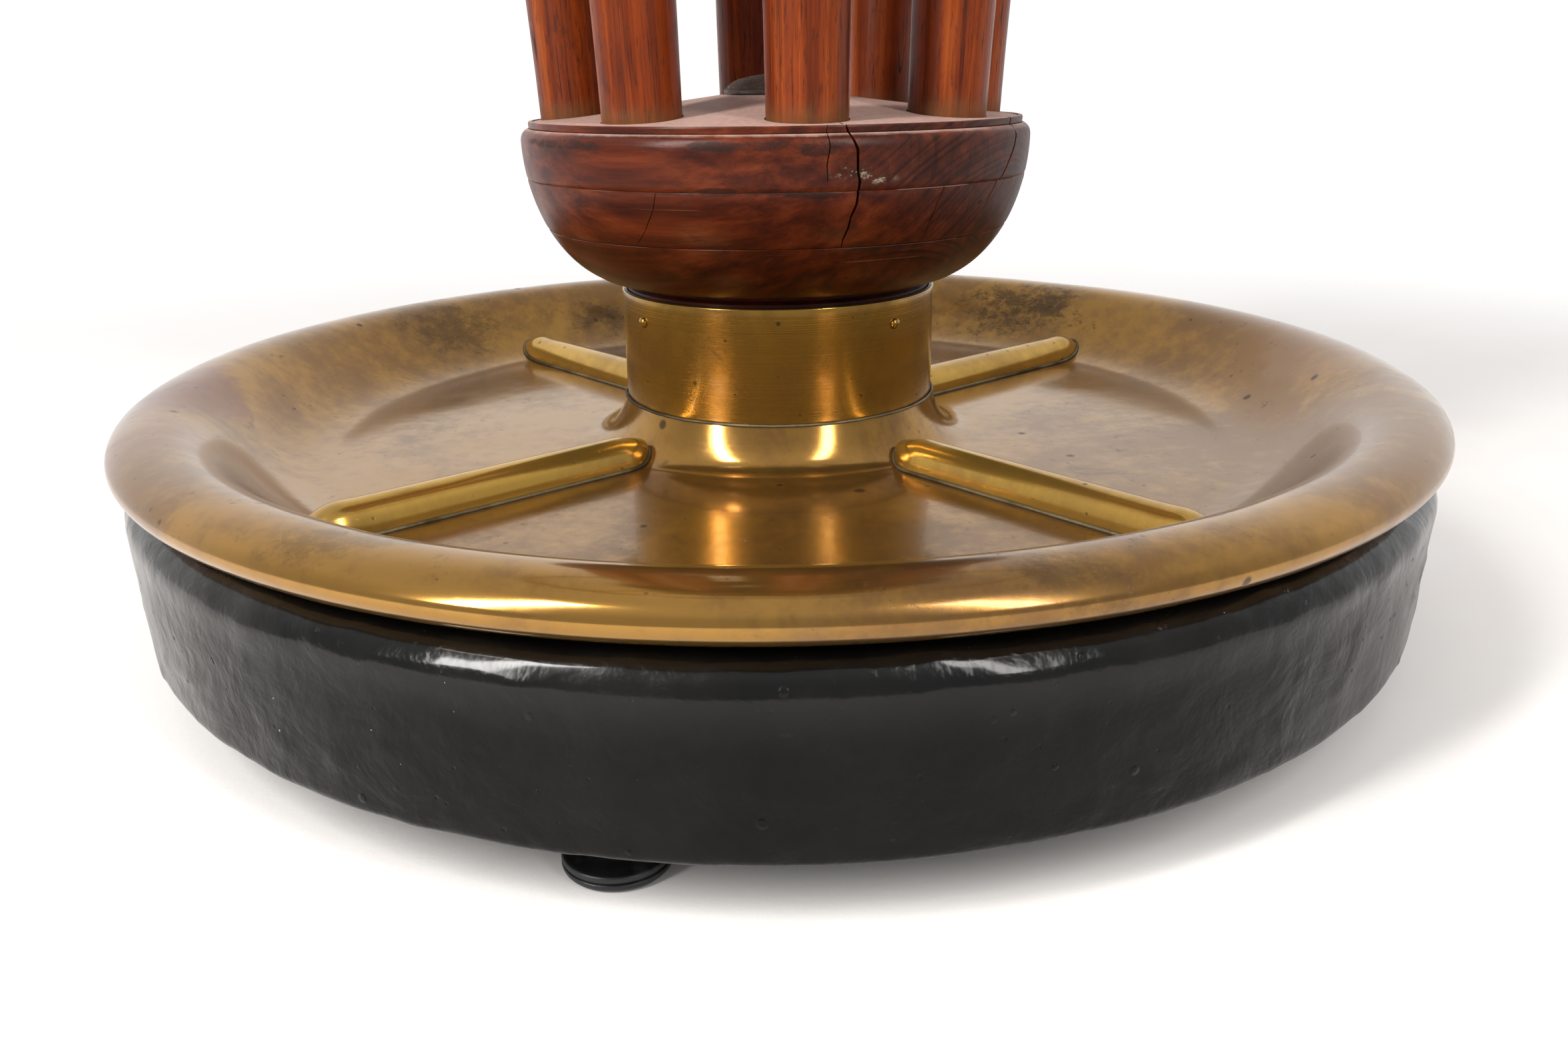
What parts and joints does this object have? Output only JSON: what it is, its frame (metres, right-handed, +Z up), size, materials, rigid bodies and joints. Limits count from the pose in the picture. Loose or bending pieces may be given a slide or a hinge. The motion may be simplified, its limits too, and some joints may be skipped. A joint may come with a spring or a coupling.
{
  "type": "umbrella stand",
  "caption": "Free-standing umbrella stand: cast base on feet, spun brass tray with ribs, turned wooden block and crown joined by raking rods, brass hoop on arms.",
  "frame": {"origin": "centre of the stand on the floor, under the middle of its feet's footprint", "axes": "+Z up along the stand's axis; the front, as seen in the picture, faces -Y"},
  "size_m": [0.5594, 0.5594, 0.8],
  "materials": {
    "base_paint": "thick black gloss paint with runs and grit, over a rough casting",
    "foot": "black moulded rubber, dull, with a turned groove",
    "steel": "dull steel, dusty",
    "tray_brass": "old polished spun brass with brown bloom, spots and fine scratches",
    "rib_brass": "old polished brass with dark specks, soft-soldered along both sides",
    "collar_brass": "darker brown aged brass, satin, with pits and fine turning lines",
    "block_wood": "red-brown stained hardwood, waxed, with checks, glue lines and worn edges",
    "rod_wood": "orange-brown hardwood rods, varnished, with dark streaks along the grain"
  },
  "bodies": {
    "root": {"base_casting": "base_paint", "foot_1": "foot", "foot_2": "foot", "foot_3": "foot", "foot_lock_nut_1": "steel", "foot_lock_nut_2": "steel", "foot_lock_nut_3": "steel", "tray": "tray_brass", "tray_rib_1": "rib_brass", "tray_rib_2": "rib_brass", "tray_rib_3": "rib_brass", "tray_rib_4": "rib_brass", "collar": "collar_brass", "collar_nail_1": "collar_brass", "collar_nail_2": "collar_brass", "collar_nail_3": "collar_brass", "collar_nail_4": "collar_brass", "block_neck": "block_wood", "block_lower_board": "block_wood", "block_middle_board": "block_wood", "block_upper_board": "block_wood", "tie_rod": "steel", "tie_cap_nut": "steel", "tie_washer": "steel", "tie_nut": "steel", "rod_1": "rod_wood", "rod_2": "rod_wood", "rod_3": "rod_wood", "rod_4": "rod_wood", "rod_5": "rod_wood", "rod_6": "rod_wood", "rod_7": "rod_wood", "rod_8": "rod_wood", "spreader_disc": "block_wood", "hoop": "collar_brass", "hoop_arm_1": "collar_brass", "hoop_arm_2": "collar_brass", "hoop_arm_3": "collar_brass", "hoop_arm_4": "collar_brass", "crown": "block_wood", "knob": "block_wood"}
  },
  "joints": []
}
